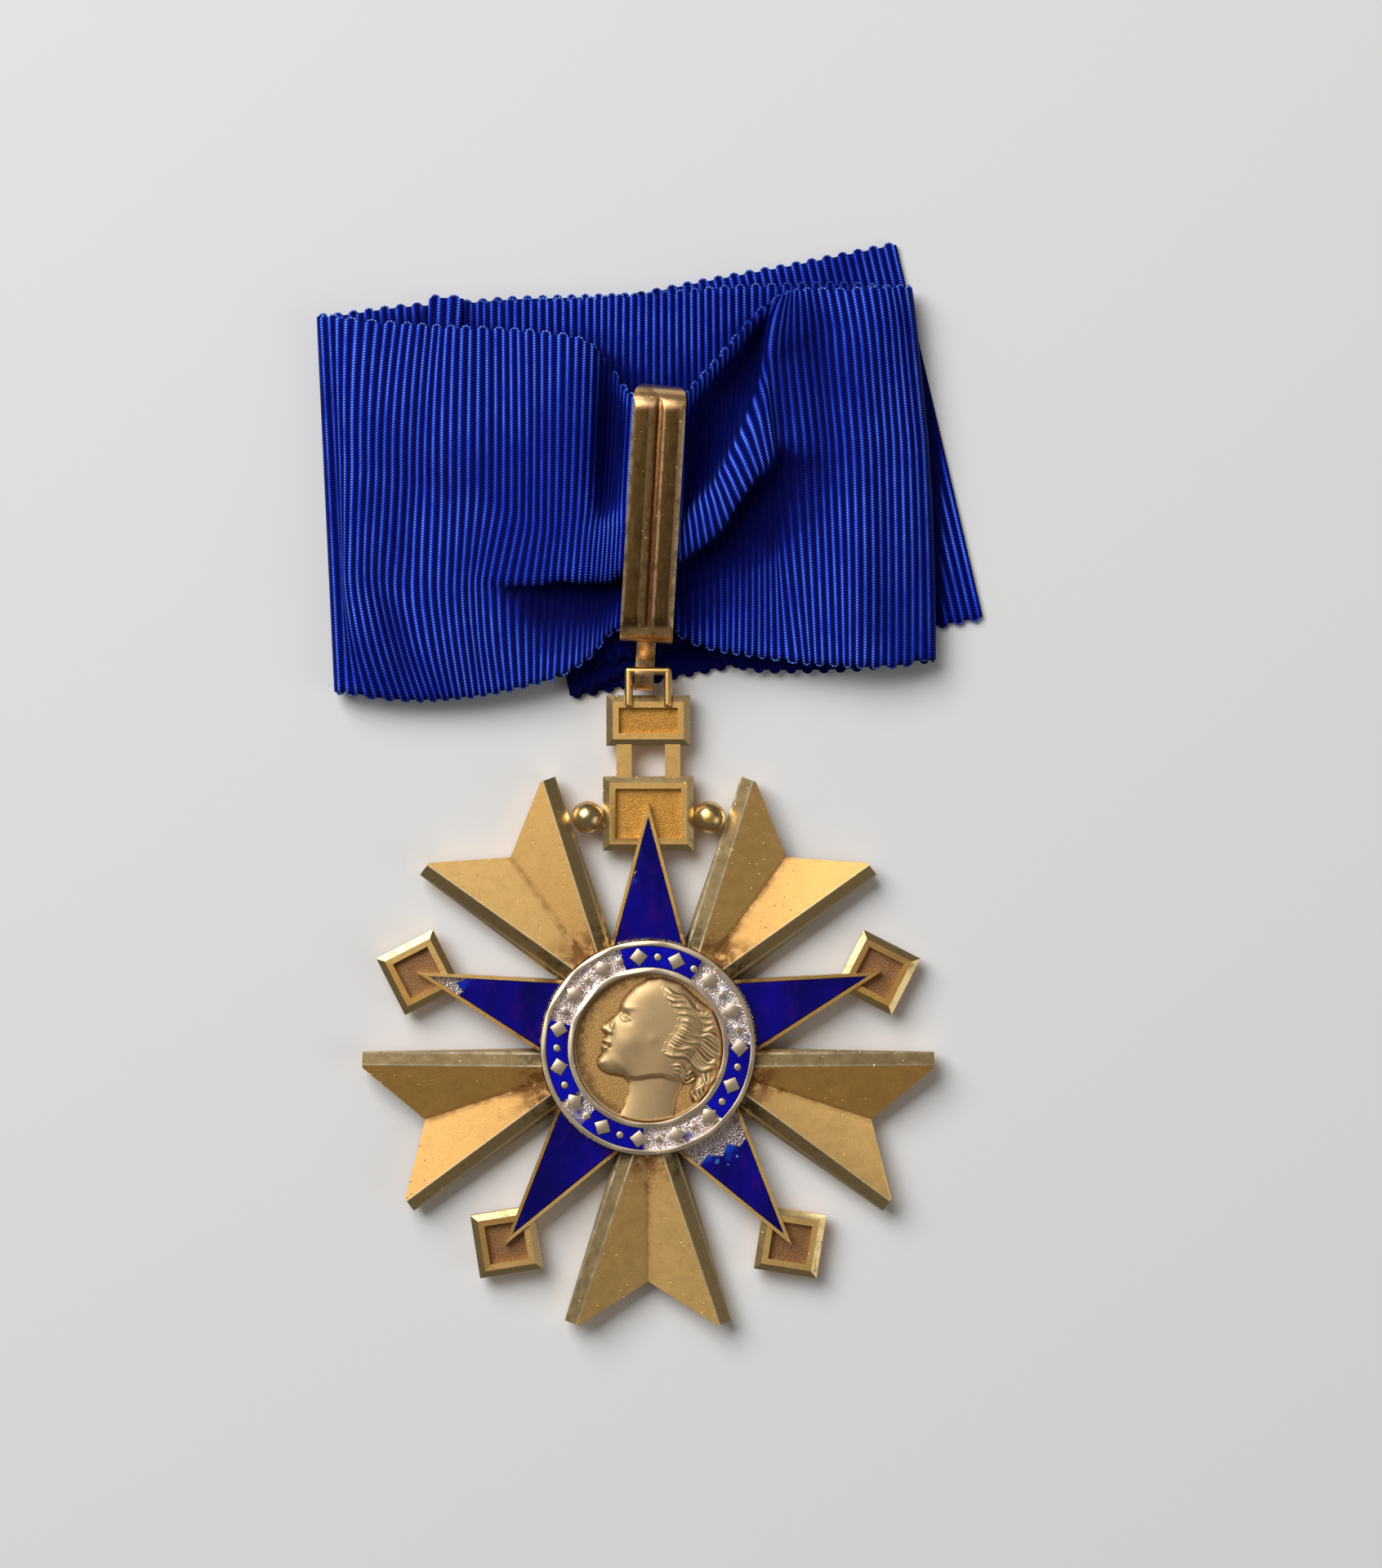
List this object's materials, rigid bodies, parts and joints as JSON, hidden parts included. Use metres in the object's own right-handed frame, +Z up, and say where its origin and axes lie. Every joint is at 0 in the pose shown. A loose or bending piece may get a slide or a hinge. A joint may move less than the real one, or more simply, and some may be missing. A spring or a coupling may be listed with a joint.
{
  "type": "order neck badge on its folded neck ribbon",
  "caption": "Gilt and blue enamel star badge with a head medallion, hung by a long bail from a folded blue neck ribbon, lying flat.",
  "frame": {"origin": "under the middle of the medallion, on the flat boss at the back that the badge rests on", "axes": "+Z up out of the badge's face, +Y from the medallion towards the bail and ribbon, +X to the right of the face"},
  "size_m": [0.0706, 0.1138, 0.0088],
  "materials": {
    "gilt": "satin silver-gilt with polished bevels and brown tarnish in the creases",
    "worn_gilt": "worn gilt showing silver, with a stippled ground where the enamel is lost",
    "tarnished_gilt": "matt gilt relief on a grained, darkly tarnished field",
    "bail_gilt": "gilt with dark bronze tarnish along its two flat bands",
    "blue_enamel": "glossy deep blue enamel, chipped in places",
    "grosgrain": "royal blue silk grosgrain with cross ribs and looped selvedges"
  },
  "bodies": {
    "root": {"star": "gilt", "enamel_point_top": "blue_enamel", "enamel_point_upper_right": "blue_enamel", "enamel_point_lower_right": "blue_enamel", "enamel_point_lower_left": "blue_enamel", "enamel_point_upper_left": "blue_enamel", "medallion_ring": "worn_gilt", "enamel_arc_1": "blue_enamel", "enamel_arc_2": "blue_enamel", "enamel_arc_3": "blue_enamel", "enamel_arc_4": "blue_enamel", "medallion_disc": "tarnished_gilt", "bail": "bail_gilt", "ribbon": "grosgrain"}
  },
  "joints": []
}
